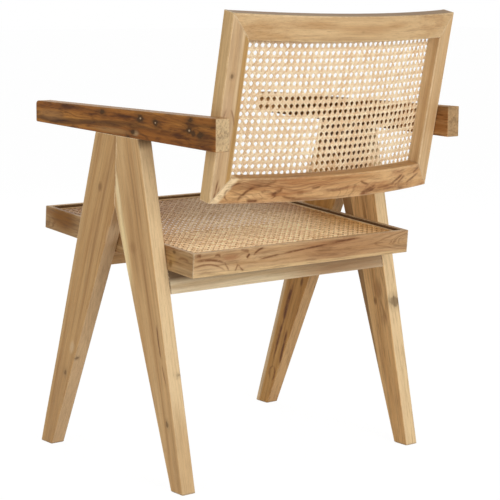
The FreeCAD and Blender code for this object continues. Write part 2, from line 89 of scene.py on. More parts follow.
# Cane webbing, in mm
column_pitch = 11.85  # between the pairs of strands that run up the back
row_pitch = 12.73
row_shift = -3.65  # from the middle of the back to the nearest row
row_lean = -0.0084  # how the rows of the back slope
strand_width = 2.54
strand_thickness = {"back": 0.66, "seat": 0.92}
pair_half_gap = 1.22  # from the middle of a pair to each of its strands
flat_share = 0.16  # part of the pitch over which a diagonal strand lies flat on a pair
flat_rise = 0.9
end_margin = 0.03  # of a pitch, kept free of bends at the ends of a strand
shortest_strand = 0.2  # in pitches
place_jitter = 0.10
width_jitter = 0.06
SECTION = ((-1, 0), (-0.6, 1), (0.6, 1), (1, 0), (0.6, -1), (-0.6, -1))  # of a strand, in half sizes

# Faces of pieces
END_SHARE = 0.03  # of a piece's length, counts as its end
FACES_SIDE = 0.8  # how squarely a face has to look to one side to belong to it
MITRE_LEAN = (0.5, 0.9)  # how squarely a mitred end looks sideways
SAME_PLACE = 0.01 * MM
SLIGHTLY = 14  # times a direction: brings out facets that lean only a little that way

# Sizes in the wood, in mm: along the grain, out of the shown face and across
SLOW_SIZE = (320, 80, 80)
SWIRL_SIZE = (130, 24, 24)
QUICK_SIZE = (42, 12, 12)
SLOW_PUSH = Vector((0, 24, 24))  # how far the fibres are moved at a wander of 1
SWIRL_PUSH = Vector((0, 16, 16))
QUICK_PUSH = Vector((6, 3, 3))
RAGGED_SIZE = (11, 5, 5)
FIGURE_SIZE = (170, 34, 30)
STREAK_SIZE = (520, 13, 13)
HEART_SIZE = (360, 22, 15)
PORE_SIZE = (9, 0.55, 0.55)

# Steps in the wood: where a mark begins and where it is full, then its share there if that isn't 0 and 1
RING_STEP = (0.1, 1.0, 0.1, 1.0)
LINE_FULL = 0.93  # of a ring, where its dark line is full
LINE_END = (1.0, 0.94)
FIGURE_STEP = (0.34, 0.58, 0.15, 1.0)
STREAK_STEP = (0.30, 0.70)
CLOUD_STEP = (0.46, 0.72)
HEART_STEP = 0.16  # from the look's heart_from on
PORE_STEP = (0.60, 0.72)
FACE_STEP = (0.6, 0.9)
SHOWN_STEP = (0.5, 0.8)
PATCH_STEP = (1.0, 0.25)  # in the size of the patch
BAND_STEP = (1.3, 0.7)  # in the reach of the band
STROKE_STEP = (2.2, 0.4)  # in half widths of the stroke
STROKE_ENDS = (0.0, 0.2)
STROKE_RAGGED = (0.25, 0.55, 0.4, 1.0)
KNOT_CORE = (2.2, 1.1)  # in the size of the knot, as the next two
KNOT_HALO = (5.0, 1.0)
KNOT_EYE = (0.65, 0.2)
EDGE_STEP = (0.99, 0.90)
EDGE_RAGGED = (0.35, 0.60, 0.3, 1.0)
SEAM_STEP = (1.3, 0.4, 0.0, 0.3)  # in mm from the seam
SEAM_REACH = (70, 60)  # in mm from its middle

# Other values of the wood
RING_DRIFT = 2.2  # how far the widths of the rings vary, in rings
RING_DRIFT_RATE = 0.45
KNOT_SHAPE = Vector((1.5, 2.2, 1.0))
KNOT_RAGGED = 3.2
KNOT_FADE = -0.8
KNOT_PUSH = 2.4  # how far a knot bends the growth lines, in its size
HALO_SHARE = 0.5
EYE_SHARE = 0.75
FACE_HIDES = 0.75  # share of the dark lines that the tone of a face hides
PATCH_DEPTH = 40.0  # how far a patch of colour reaches into a piece, in mm
PATCH_RAGGED = 0.8
GLOW_REACH = 4.5  # of the warm tone beside a stroke, in its half widths
GLOW_SHARE = 0.5
FIBRE_SHARE = 0.8
WOOD_FIBRES = (0.32, 0.50, 0.70)  # noise at which fibres are dark, plain and light
WOOD_LIGHT = (1.10, 1.09, 1.07)
CANE_FIBRES = (0.30, 0.55, 0.80)
CANE_LIGHT = (1.05, 1.05, 1.04)
PORE_SHARE = 0.22
EDGE_WIDTH = 3.2 * MM
LINE_DEPTH = -0.4  # in the height of the fibres
PORE_DEPTH = 0.6


def linear(red, green, blue):
    """A colour given in 0 to 255 as seen, turned into the shader's scale."""
    def one(value):
        value = value / 255
        return value / 12.92 if value <= 0.04045 else ((value + 0.055) / 1.055) ** 2.4
    return one(red), one(green), one(blue), 1.0


def direction(azimuth, elevation):
    """Towards a camera or lamp: azimuth 0 is in front of the chair, 90 on the sitter's left."""
    flat = math.cos(elevation)
    return Vector((math.sin(azimuth) * flat, -math.cos(azimuth) * flat, math.sin(elevation)))


def make_camera():
    back = direction(camera_azimuth, camera_elevation)
    right = (-back).cross(UP).normalized()
    up = right.cross(-back)
    tilted_right = right * math.cos(camera_roll) + up * math.sin(camera_roll)
    tilted_up = up * math.cos(camera_roll) - right * math.sin(camera_roll)
    data = bpy.data.cameras.new("camera")
    data.sensor_width = SENSOR
    data.lens = focal_pixels / IMAGE_SIZE * SENSOR
    data.shift_x = (IMAGE_SIZE / 2 - principal_x) / IMAGE_SIZE
    data.shift_y = (principal_y - IMAGE_SIZE / 2) / IMAGE_SIZE
    camera = bpy.data.objects.new("camera", data)
    turn = Matrix((tilted_right, tilted_up, back)).transposed().to_4x4()
    camera.matrix_world = Matrix.Translation(camera_target + back * camera_distance) @ turn
    bpy.context.scene.collection.objects.link(camera)
    bpy.context.scene.camera = camera


class Tree:
    """Writes the shader nodes of a material or of the surround."""

    def __init__(self, owner, shader="Principled BSDF"):
        owner.use_nodes = True
        self.owner = owner
        self.nodes = owner.node_tree.nodes
        self.links = owner.node_tree.links
        self.shader = self.nodes[shader]

    def put(self, socket, value):
        if isinstance(value, bpy.types.NodeSocket):
            self.links.new(value, socket)
        else:
            socket.default_value = value

    def shade(self, name, value):
        self.put(self.shader.inputs[name], value)

    def node(self, kind, *inputs, **settings):
        node = self.nodes.new("ShaderNode" + kind)
        for key, value in settings.items():
            setattr(node, key, value)
        for socket, value in zip(node.inputs, inputs):
            self.put(socket, value)
        return node

    def math(self, operation, *inputs):
        return self.node("Math", *inputs, operation=operation).outputs[0]

    def vector(self, operation, *inputs):
        return self.node("VectorMath", *inputs, operation=operation).outputs[0]

    def length(self, vector):
        return self.node("VectorMath", vector, operation="LENGTH").outputs["Value"]

    def dot(self, first, second):
        return self.node("VectorMath", first, second, operation="DOT_PRODUCT").outputs["Value"]

    def place(self):
        """Where a point lies in the chair's frame, in mm."""
        return self.vector("MULTIPLY", self.node("TexCoord").outputs["Object"], Vector((1 / MM,) * 3))

    def noise_node(self, vector, size, seed, detail, roughness):
        scaled = self.vector("DIVIDE", vector, Vector(size))
        moved = self.vector("ADD", scaled, Vector((seed, seed * 0.7, -seed)))
        node = self.node("TexNoise", normalize=True)
        self.put(node.inputs["Vector"], moved)
        self.put(node.inputs["Scale"], 1.0)
        self.put(node.inputs["Detail"], detail)
        self.put(node.inputs["Roughness"], roughness)
        return node

    def noise(self, vector, size, seed, detail=2.0, roughness=0.5):
        """Noise from 0 to 1, with features about as large as the size."""
        return self.noise_node(vector, size, seed, detail, roughness).outputs["Fac"]

    def drift(self, vector, size, seed, detail=2.0, roughness=0.5):
        """Noise in three directions, about 0."""
        noise = self.noise_node(vector, size, seed, detail, roughness)
        return self.vector("SUBTRACT", noise.outputs["Color"], Vector((0.5,) * 3))

    def remap(self, value, low, high, to_low=0.0, to_high=1.0):
        """A smooth step from low to high."""
        node = self.node("MapRange", value, low, high, to_low, to_high, interpolation_type="SMOOTHSTEP")
        return node.outputs["Result"]

    def mix(self, share, first, second, blend="MIX"):
        node = self.node("Mix", data_type="RGBA", blend_type=blend, clamp_factor=True)
        self.put(node.inputs["Factor"], share)
        self.put(node.inputs[6], first)
        self.put(node.inputs[7], second)
        return node.outputs[2]

    def uneven(self, noise, least, swing):
        """A value that rises with the noise."""
        return self.math("MULTIPLY_ADD", noise, swing, least)

    def fibre_tone(self, colour, fibres, places, dark, light):
        """The colour with its fibres made dark, plain and light at three places of their noise."""
        ramp = self.node("ValToRGB", fibres)
        elements = ramp.color_ramp.elements
        elements.new(0.5)
        for element, place, tone in zip(elements, places, (dark, WHITE, light)):
            element.position = place
            element.color = (*tone, 1)
        return self.mix(FIBRE_SHARE, colour, ramp.outputs[0], "MULTIPLY")

    def shows_surround(self):
        """1 for the rays of the camera and those off metal or through glass, which see plain white."""
        path = self.node("LightPath").outputs
        mirrored = self.math("MAXIMUM", path["Is Glossy Ray"], path["Is Transmission Ray"])
        return self.math("MAXIMUM", path["Is Camera Ray"], mirrored)

    def finish(self, colour, roughness, specular, height, strength, distance):
        """Colour, roughness, gloss and bump of the surface, with the bump's distance in mm."""
        self.shade("Base Color", colour)
        self.shade("Roughness", roughness)
        self.shade("Specular IOR Level", specular)
        bump = self.node("Bump")
        self.put(bump.inputs["Strength"], strength)
        self.put(bump.inputs["Distance"], distance * MM)
        self.put(bump.inputs["Height"], height)
        self.shade("Normal", bump.outputs[0])
        return self.owner


def new_material(name):
    return Tree(bpy.data.materials.new(name))


def make_surround():
    """White to the camera and dimmer as a light."""
    world = bpy.data.worlds.new("surround")
    bpy.context.scene.world = world
    tree = Tree(world, "Background")
    tree.shade("Color", (*WHITE, 1))
    tree.shade("Strength", tree.node("MapRange", tree.shows_surround(), 0, 1, world_level, 1).outputs[0])


def make_floor():
    """Pale, mostly plain white, with a faint shadow."""
    mesh = bpy.data.meshes.new("floor")
    corners = [(x * floor_size, y * floor_size, 0) for x, y in ((-1, -1), (1, -1), (1, 1), (-1, 1))]
    mesh.from_pydata(corners, [], [(0, 1, 2, 3)])
    floor = bpy.data.objects.new("floor", mesh)
    bpy.context.scene.collection.objects.link(floor)
    tree = new_material("floor")
    tree.shade("Base Color", (floor_tone, floor_tone, floor_tone, 1))
    tree.shade("Roughness", floor_roughness)
    tree.shade("Specular IOR Level", 0.0)
    glow = tree.node("Emission", (*WHITE, 1), floor_white)
    share = tree.math("MULTIPLY", tree.shows_surround(), floor_glow)
    blend = tree.node("MixShader", share, tree.shader.outputs[0], glow.outputs[0])
    tree.links.new(blend.outputs[0], tree.nodes["Material Output"].inputs["Surface"])
    mesh.materials.append(tree.owner)


def make_lamps():
    """Soft lamps, aimed at the middle of the chair."""
    aim = (cad_box[0] + cad_box[1]) / 2
    for name, lamp in lamps.items():
        data = bpy.data.lights.new(name, "AREA")
        data.size = lamp["size"]
        data.energy = lamp["level"] * math.pi ** 2 * lamp["distance"] ** 2
        towards = direction(math.radians(lamp["azimuth"]), math.radians(lamp["elevation"]))
        light = bpy.data.objects.new(name, data)
        light.location = aim + towards * lamp["distance"]
        light.rotation_euler = towards.to_track_quat("Z", "Y").to_euler()
        bpy.context.scene.collection.objects.link(light)


def points_of(node):
    return [vertex.co.copy() for vertex in nodes[node].data.vertices]


def end_centres(node):
    """The centres of a node's two ends along its longest side."""
    points = points_of(node)
    low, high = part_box(node)
    size = high - low
    axis = max(range(3), key=lambda i: size[i])
    ends = []
    for limit, sign in ((low[axis], 1), (high[axis], -1)):
        near = [p for p in points if (p[axis] - limit) * sign < size[axis] * END_SHARE]
        corner_low = Vector([min(p[i] for p in near) for i in range(3)])
        corner_high = Vector([max(p[i] for p in near) for i in range(3)])
        ends.append((corner_low + corner_high) / 2)
    return ends


def side_of(node, towards):
    """The plane of a piece's largest face on one side, as (point in mm, normal)."""
    faces = [f for f in nodes[node].data.polygons if f.normal.dot(towards) > FACES_SIDE]
    largest = max(faces, key=lambda f: f.area)
    return largest.center / MM, largest.normal.copy()


def mitres(*rails):
    """The planes of the mitred ends of rails that run across the chair, as (point in mm, normal)."""
    least, most = MITRE_LEAN
    planes = []
    for rail in rails:
        for side in (-1, 1):
            faces = [f for f in nodes[rail].data.polygons if least < f.normal.x * side < most]
            widest = max(faces, key=lambda f: f.area)
            planes.append((widest.center / MM, widest.normal.copy()))
    return planes


def in_view(face, pair):
    """A point given by its two coordinates in a view of the rear or the left of the chair."""
    return Vector((0, *pair)) if face == LEFT else Vector((pair[0], 0, pair[1]))


def paint(piece, material):
    piece.data.materials.clear()
    piece.data.materials.append(material)


class Grain:
    """Grain coordinates of a piece in mm: x along it, y out of its shown face, z across, from its middle."""

    def __init__(self, node, face):
        first, last = end_centres(node)
        along = (last - first).normalized()
        out = (face - along * face.dot(along)).normalized()
        self.turn = Matrix((along, out, along.cross(out)))
        self.centre = (first + last) / 2 / MM

    def place(self, point):
        """Grain coordinates of a point given in mm in the chair's frame."""
        return self.turn @ (Vector(point) - self.centre)

    def coordinates(self, tree):
        mapping = tree.node("Mapping", tree.node("TexCoord").outputs["Object"])
        mapping.inputs["Scale"].default_value = (1 / MM,) * 3
        mapping.inputs["Rotation"].default_value = self.turn.to_euler()
        mapping.inputs["Location"].default_value = -(self.turn @ self.centre)
        return mapping.outputs[0]


class Teak:
    """The wood of one piece: marks first, then its colour in layers."""

    def __init__(self, node, face, look, seed, tint):
        self.face, self.look, self.seed, self.tint = face, look, seed, (*tint, 1)
        self.tree = tree = new_material(node)
        self.piece = Grain(node, face)
        self.grain = self.piece.coordinates(tree)
        self.normal = tree.node("NewGeometry").outputs["Normal"]
        slow = tree.drift(self.grain, SLOW_SIZE, seed, detail=1)
        swirl = tree.drift(self.grain, SWIRL_SIZE, seed + 5)
        quick = tree.drift(self.grain, QUICK_SIZE, seed + 3)
        self.near = self.pushed(self.grain, quick, QUICK_PUSH)  # fibres that wander a little
        self.bent = self.pushed(self.pushed(self.near, slow, SLOW_PUSH), swirl, SWIRL_PUSH)  # and a lot
        self.ragged = tree.noise(self.grain, RAGGED_SIZE, seed + 29, roughness=0.6)
        self.streaks = tree.noise(self.near, STREAK_SIZE, seed + 7, detail=2.5)
        self.fibres = tree.noise(self.bent, look["fibre_size"], seed + 11, detail=4, roughness=0.65)
        self.pores = tree.remap(tree.noise(self.bent, PORE_SIZE, seed + 13, detail=1), *PORE_STEP)
        self.dark = tuple(value * share for value, share in zip(linear(*look["heart"]), self.tint))

    def pushed(self, vector, drift, push):
        move = self.tree.vector("MULTIPLY", drift, push * self.look["wander"])
        return self.tree.vector("ADD", vector, move)

    def about_zero(self, noise, swing):
        return self.tree.uneven(noise, -swing / 2, swing)

    def gap(self, vector, point, across):
        """How far the wood is from a plane."""
        tree = self.tree
        offset = tree.vector("SUBTRACT", vector, self.piece.place(point))
        return tree.math("ABSOLUTE", tree.dot(offset, self.piece.turn @ across))

    def mark_knots(self, knots):
        """Where the knots are: core, halo and pale eye, and how far they push the growth lines aside."""
        tree = self.tree
        self.push = self.core = self.halo = self.eyes = 0.0
        for point, size, eye in knots:
            offset = tree.vector("SUBTRACT", self.near, self.piece.place(point))
            away = tree.length(tree.vector("DIVIDE", offset, KNOT_SHAPE * size))
            spread = tree.math("ADD", away, self.about_zero(self.ragged, KNOT_RAGGED))
            beside = tree.math("EXPONENT", tree.math("MULTIPLY", away, KNOT_FADE))
            self.push = tree.math("MULTIPLY_ADD", beside, size * KNOT_PUSH, self.push)
            self.core = tree.math("MAXIMUM", self.core, tree.remap(spread, *KNOT_CORE))
            self.halo = tree.math("MAXIMUM", self.halo, tree.remap(spread, *KNOT_HALO))
            if eye:
                self.eyes = tree.math("MAXIMUM", self.eyes, tree.remap(away, *KNOT_EYE))

    def mark_growth(self):
        """Growth lines about the pith, which show in places."""
        tree, look = self.tree, self.look
        from_pith = tree.vector("SUBTRACT", self.bent, Vector((0, *look["pith"])))
        flat = tree.vector("MULTIPLY", from_pith, Vector((0, 1, 1)))
        taper = tree.dot(self.grain, Vector((look["taper"], 0, 0)))
        radius = tree.math("ADD", tree.math("ADD", tree.length(flat), taper), self.push)
        count = tree.math("DIVIDE", radius, look["ring"])
        uneven = tree.node("TexNoise", noise_dimensions="1D")
        tree.put(uneven.inputs["W"], tree.math("MULTIPLY_ADD", count, RING_DRIFT_RATE, self.seed))
        count = tree.math("MULTIPLY_ADD", uneven.outputs["Fac"], RING_DRIFT, count)
        within = tree.math("FRACT", count)
        ring = tree.node("TexWhiteNoise", noise_dimensions="1D")
        tree.put(ring.inputs["W"], tree.math("ADD", tree.math("FLOOR", count), self.seed))
        line = tree.remap(within, look["line_from"], LINE_FULL)
        line = tree.math("MULTIPLY", line, tree.remap(within, *LINE_END))
        line = tree.math("MULTIPLY", line, tree.remap(ring.outputs["Value"], *RING_STEP))
        figure = tree.noise(self.near, FIGURE_SIZE, self.seed + 19)
        self.growth = tree.math("MULTIPLY", line, tree.remap(figure, *FIGURE_STEP))

    def lay(self, share, tone):
        self.colour = self.tree.mix(share, self.colour, linear(*tone))

    def lay_ground(self, faces):
        """Streaks and clouds, the tones of single faces, which partly paint light and shade on the sides they
        face, then growth lines and dark heartwood.
        """
        tree, look = self.tree, self.look
        clouds = tree.noise(self.bent, look["cloud_size"], self.seed + 23, detail=3, roughness=0.55)
        heart = tree.noise(self.bent, HEART_SIZE, self.seed + 17, detail=2.5, roughness=0.55)
        heart = tree.remap(heart, look["heart_from"], look["heart_from"] + HEART_STEP)
        streaks = tree.remap(self.streaks, *STREAK_STEP)
        self.colour = tree.mix(streaks, linear(*look["pale"]), linear(*look["mid"]))
        self.lay(tree.remap(clouds, *CLOUD_STEP, 0.0, look["cloud_share"]), look["late"])
        self.colour = tree.mix(1.0, self.colour, self.tint, "MULTIPLY")
        plain = 1.0
        for towards, tone, share in faces:
            facing = tree.remap(tree.dot(self.normal, Vector(towards)), *FACE_STEP, 0.0, share)
            self.lay(facing, tone)
            plain = tree.math("MULTIPLY", plain, tree.math("MULTIPLY_ADD", facing, -FACE_HIDES, 1.0))
        for mark, share in ((self.growth, look["line_share"]), (heart, look["heart_share"])):
            shown = tree.math("MULTIPLY", tree.math("MULTIPLY", mark, share), plain)
            self.colour = tree.mix(shown, self.colour, self.dark)

    def lay_patches(self, patches):
        """Soft spots of colour, some of them painted shade."""
        tree = self.tree
        for point, length, breadth, tone, share in patches:
            offset = tree.vector("SUBTRACT", self.near, self.piece.place(point))
            away = tree.length(tree.vector("DIVIDE", offset, Vector((length, PATCH_DEPTH, breadth))))
            spread = tree.math("ADD", away, self.about_zero(self.streaks, PATCH_RAGGED))
            self.lay(tree.remap(spread, *PATCH_STEP, 0.0, share), tone)

    def lay_bands(self, bands):
        """Colour on both sides of a plane, in places painted shade."""
        for (point, across), reach, tone, share in bands:
            gap = self.gap(self.near, point, across)
            outer, inner = (reach * step for step in BAND_STEP)
            self.lay(self.tree.remap(gap, outer, inner, 0.0, share), tone)

    def lay_strokes(self, strokes):
        """Dark curved lines of the figure with a warm tone beside them, on the shown face only."""
        tree = self.tree
        front = tree.remap(tree.dot(self.normal, self.face), *SHOWN_STEP)
        broken = tree.remap(self.ragged, *STROKE_RAGGED)
        for *points, half_width, share in strokes:
            start, middle, end = (self.piece.place(in_view(self.face, pair)) for pair in points)
            chord = Vector((end.x - start.x, 0, end.z - start.z))
            side = Vector((-chord.z, 0, chord.x)).normalized()
            offset = tree.vector("SUBTRACT", self.near, start)
            done = tree.dot(offset, chord / chord.length_squared)
            arc = tree.math("MULTIPLY", done, tree.math("SUBTRACT", 1.0, done))
            bow = 4 * (middle - start).dot(side)
            gap = tree.math("ABSOLUTE", tree.math("MULTIPLY_ADD", arc, -bow, tree.dot(offset, side)))
            shown = tree.math("MULTIPLY", tree.remap(arc, *STROKE_ENDS), broken)
            shown = tree.math("MULTIPLY", shown, front)
            glow = tree.remap(gap, half_width * GLOW_REACH, 0.0, 0.0, share * GLOW_SHARE)
            outer, inner = (half_width * step for step in STROKE_STEP)
            line = tree.remap(gap, outer, inner, 0.0, share)
            self.lay(tree.math("MULTIPLY", glow, shown), STROKE_GLOW)
            self.lay(tree.math("MULTIPLY", line, shown), STROKE)

    def lay_fibres(self):
        """Fine fibres and pores."""
        tree = self.tree
        self.colour = tree.fibre_tone(self.colour, self.fibres, WOOD_FIBRES, self.look["fibre"], WOOD_LIGHT)
        self.colour = tree.mix(tree.math("MULTIPLY", self.pores, PORE_SHARE), self.colour, self.dark)

    def lay_knots(self):
        share = self.look["knot_share"]
        self.lay(self.tree.math("MULTIPLY", self.halo, share * HALO_SHARE), KNOT)
        self.lay(self.tree.math("MULTIPLY", self.core, share), KNOT)
        self.lay(self.tree.math("MULTIPLY", self.eyes, EYE_SHARE), EYE)

    def lay_edges(self):
        """Pale edges: wear, and a painted highlight where the arrises catch the light."""
        tree = self.tree
        rounded = tree.node("Bevel", EDGE_WIDTH, samples=6).outputs[0]
        edge = tree.remap(tree.dot(rounded, self.normal), *EDGE_STEP)
        edge = tree.math("MULTIPLY", edge, tree.remap(self.ragged, *EDGE_RAGGED))
        self.lay(tree.math("MULTIPLY", edge, self.look["edge_share"]), self.look["edge"])

    def lay_seams(self, seams):
        """Thin dark lines where two pieces meet."""
        tree = self.tree
        for point, across in seams:
            line = tree.remap(self.gap(self.grain, point, across), *SEAM_STEP)
            away = tree.length(tree.vector("SUBTRACT", self.grain, self.piece.place(point)))
            self.lay(tree.math("MULTIPLY", line, tree.remap(away, *SEAM_REACH)), SEAM)

    def finish(self):
        tree = self.tree
        rough = tree.uneven(self.fibres, least=0.46, swing=0.22)
        lined = tree.math("MULTIPLY_ADD", self.growth, LINE_DEPTH, self.fibres)
        height = tree.math("SUBTRACT", lined, tree.math("MULTIPLY", self.pores, PORE_DEPTH))
        gloss = self.look["gloss"]
        return tree.finish(self.colour, rough, gloss, height, strength=0.22, distance=0.3)


def wood(node, face, look, seed, tint=WHITE, faces=(), patches=(), bands=(), strokes=(), knots=(), seams=()):
    """Teak for one piece, with points in mm in the chair's frame.

    Faces are (normal, colour, share): a tone for the faces that look one way, partly painted light
    and shade on that side; patches (point, length, breadth, colour, share), bands ((point, normal),
    reach, colour, share), strokes (start, middle, end, half width, share) in a view of the shown
    face, knots (point, size, whether it has a pale eye) and seams (point, normal).
    """
    teak = Teak(node, face, look, seed, tint)
    teak.mark_knots(knots)
    teak.mark_growth()
    teak.lay_ground(faces)
    teak.lay_patches(patches)
    teak.lay_bands(bands)
    teak.lay_strokes(strokes)
    teak.lay_fibres()
    if knots:
        teak.lay_knots()
    teak.lay_edges()
    teak.lay_seams(seams)
    paint(nodes[node], teak.finish())


class FlatPanel:
    """Places the flat coordinates of the seat cane: s to the left, t to the rear, h upwards, in mm."""

    def __init__(self, node):
        points = points_of(node)
        slope = min(points, key=lambda p: p.z) - min(points, key=lambda p: p.y)
        self.back = Vector((0, slope.y, slope.z)).normalized()
        self.up = LEFT.cross(self.back)
        self.centre = Vector()
        sizes = []
        for axis in (LEFT, self.back, self.up):
            reach = [p.dot(axis) for p in points]
            self.centre += axis * ((min(reach) + max(reach)) / 2)
            sizes.append((max(reach) - min(reach)) / MM)
        self.width, self.height = sizes[:2]

    def place(self, s, t, h):
        return self.centre + (LEFT * s + self.back * t + self.up * h) * MM


class BowedPanel:
    """Places the flat coordinates of the back cane: s to the left, t up along the slope, h to the front."""

    def __init__(self, node):
        points = points_of(node)
        end_x = max(p.x for p in points)
        edge = [p for p in points if end_x - p.x < SAME_PLACE]
        lower, upper = min(edge, key=lambda p: p.z), max(edge, key=lambda p: p.z)
        self.up = (upper - lower).normalized()
        self.rear = self.up.cross(LEFT)
        self.middle = (lower + upper).dot(self.up) / 2
        crown = max(points, key=lambda p: p.dot(self.rear))
        end_y = lower.dot(self.rear)
        top_x, top_y = crown.x, crown.dot(self.rear)
        self.bow_y = (end_x ** 2 + end_y ** 2 - top_x ** 2 - top_y ** 2) / (2 * (end_y - top_y))
        reach = [math.hypot(p.x, p.dot(self.rear) - self.bow_y) for p in points]
        self.radius = (min(reach) + max(reach)) / 2
        half_angle = math.atan2(end_x, end_y - self.bow_y)
        self.width = 2 * half_angle * self.radius / MM
        self.height = (upper - lower).length / MM

    def place(self, s, t, h):
        angle = s * MM / self.radius
        radius = self.radius - h * MM
        out = self.bow_y + radius * math.cos(angle)
        return LEFT * (radius * math.sin(angle)) + self.up * (self.middle + t * MM) + self.rear * out


def pair_run(first, last, half_gap, rise):
    """How a strand of a pair passes over and under the pairs across it, as (place in pitches, height)."""
    for line in range(first, last + 1):
        yield line - half_gap, rise
        yield line + half_gap, -rise
        yield line + 0.5, 0.0


def diagonal_run(first, last, rise):
    """How a diagonal strand passes over one set of pairs and under the other."""
    for line in range(first, last + 1):
        for middle, height in ((line, rise), (line + 0.5, -rise)):
            yield middle - flat_share, height * flat_rise
            yield middle, height
            yield middle + flat_share, height * flat_rise


def trimmed(run, low, high):
    """The part of a run between two ends, which lie flat."""
    inside = [(place, height) for place, height in run if low + end_margin < place < high - end_margin]
    return [(low, 0.0)] + inside + [(high, 0.0)]


class Webbing:
    """The strands of a panel, laid out in pitches from a crossing near its middle."""

    def __init__(self, panel, thickness, shift, lean):
        self.panel, self.thickness, self.shift, self.lean = panel, thickness, shift, lean
        self.half_s, self.half_t = panel.width / 2, panel.height / 2
        self.columns = int(self.half_s / column_pitch) + 1
        self.rows = int(self.half_t / row_pitch) + 1

    def point(self, column, row, h):
        s = column * column_pitch
        return s, self.shift + row * row_pitch + self.lean * s, h

    def limits(self, first, step):
        """Where a strand that starts at one (column, row) and moves by another lies on the panel."""
        s, t, _ = self.point(*first, 0)
        s_step = step[0] * column_pitch
        t_step = step[1] * row_pitch + self.lean * s_step
        still = 1e-3
        low, high = -math.inf, math.inf
        for start, move, half in ((s, s_step, self.half_s), (t, t_step, self.half_t)):
            if abs(move) > still:
                ends = sorted(((-half - start) / move, (half - start) / move))
                low, high = max(low, ends[0]), min(high, ends[1])
            elif abs(start) > half:
                return 0.0, 0.0
        return low, high

    def strand(self, first, step, run, jitter):
        """One strand as a list of (s, t, h), or none where it misses the panel."""
        low, high = self.limits(first, step)
        if high - low < shortest_strand:
            return []
        path = []
        for place, height in trimmed(run, low, high):
            s, t, h = self.point(first[0] + step[0] * place, first[1] + step[1] * place, height)
            path.append((s + jitter * step[1], t + jitter * step[0], h))
        return path

    def strands(self, chance):
        """Every strand: the pairs up the panel, the pairs across it and the diagonals both ways."""
        plain, over = self.thickness / 2, self.thickness
        across_gap, up_gap = pair_half_gap / column_pitch, pair_half_gap / row_pitch

        def jitter():
            return chance.uniform(-1, 1) * place_jitter

        for line in range(-self.columns, self.columns + 1):
            for side in (-1, 1):
                run = pair_run(-self.rows, self.rows, up_gap, side * plain)
                yield self.strand((line + side * across_gap, 0), (0, 1), run, jitter())
        for line in range(-self.rows, self.rows + 1):
            for side in (-1, 1):
                run = pair_run(-self.columns, self.columns, across_gap, -side * plain)
                yield self.strand((0, line + side * up_gap), (1, 0), run, jitter())
        reach = self.columns + self.rows
        for lean in (1, -1):
            for number in range(-reach, reach):
                run = diagonal_run(-reach, reach, -lean * over)
                yield self.strand((0, -lean * (number + 0.5)), (1, lean), run, jitter())


def weave(name, node, webbing, material, seed):
    """Cane webbing in place of a plain sheet: pairs of strands both ways, and diagonals between them."""
    chance = random.Random(seed)
    vertices, faces, notes = [], [], []
    sides = len(SECTION)
    for path in webbing.strands(chance):
        if not path:
            continue
        tone = chance.random()
        half_width = strand_width / 2 * (1 + chance.uniform(-1, 1) * width_jitter)
        half_thickness = webbing.thickness / 2
        path = [Vector(point) for point in path]
        start = len(vertices)
        run = 0.0
        for index, point in enumerate(path):
            before, after = path[max(index - 1, 0)], path[min(index + 1, len(path) - 1)]
            tangent = (after - before).normalized()
            side = Vector((tangent.y, -tangent.x, 0)).normalized()
            lift = side.cross(tangent)
            run += (point - before).length
            for across, up in SECTION:
                spot = point + side * (across * half_width) + lift * (up * half_thickness)
                vertices.append(webbing.panel.place(*spot))
                notes.extend((run, across, tone))
            if index:
                last = start + (index - 1) * sides
                for k in range(sides):
                    after_k = (k + 1) % sides
                    faces.append((last + k, last + after_k, last + sides + after_k, last + sides + k))
        end = len(vertices) - sides
        faces.append(tuple(range(start + sides - 1, start - 1, -1)))
        faces.append(tuple(range(end, end + sides)))
    mesh = bpy.data.meshes.new(name)
    mesh.from_pydata(vertices, [], faces)
    mesh.attributes.new("strand", "FLOAT_VECTOR", "POINT").data.foreach_set("vector", notes)
    mesh.shade_smooth()
    mesh.materials.append(material)
    piece = bpy.data.objects.new(name, mesh)
    bpy.context.scene.collection.objects.link(piece)
    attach(piece, "root")
    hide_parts(node)


def cane_material(name, dark, light, rim_share, light_fades=()):
    """Split cane: a tone for each strand, fine fibres along it and darker edges.

    Light fades are painted light and shade over the panel, as (direction, low, high, low tint, high
    tint), with the ends of each fade in mm in the chair's frame.
    """
    fibre_size = (14, 0.22, 0.02)  # along a strand in mm, across it in half widths and from strand to strand
    band_size = (45, 9, 0.05)
    band_share, strand_share = 0.7, 0.6
    tone_step = (0.25, 1.05)
    rim_step = (0.6, 1.0)  # in half widths of a strand
    rim_tone = tuple(value * 0.72 for value in dark)
    tree = new_material(name)
    strand = tree.node("Attribute", attribute_name="strand").outputs["Vector"]
    _, across, tone = tree.node("SeparateXYZ", strand).outputs
    fibres = tree.noise(strand, fibre_size, 2, roughness=0.6)
    bands = tree.noise(strand, band_size, 5)
    tone = tree.math("MULTIPLY_ADD", bands, band_share, tree.math("MULTIPLY", tone, strand_share))
    colour = tree.mix(tree.remap(tone, *tone_step), linear(*dark), linear(*light))
    colour = tree.fibre_tone(colour, fibres, CANE_FIBRES, (0.86, 0.82, 0.78), CANE_LIGHT)
    rim = tree.remap(tree.math("ABSOLUTE", across), *rim_step, 0.0, rim_share)
    colour = tree.mix(rim, colour, linear(*rim_tone))
    for towards, low, high, low_tint, high_tint in light_fades:
        done = tree.remap(tree.dot(tree.place(), towards), low, high)
        tint = tree.mix(done, (*low_tint, 1), (*high_tint, 1))
        colour = tree.mix(1.0, colour, tint, "MULTIPLY")
    rough = tree.uneven(fibres, least=0.36, swing=0.2)
    return tree.finish(colour, rough, specular=0.25, height=fibres, strength=0.2, distance=0.1)


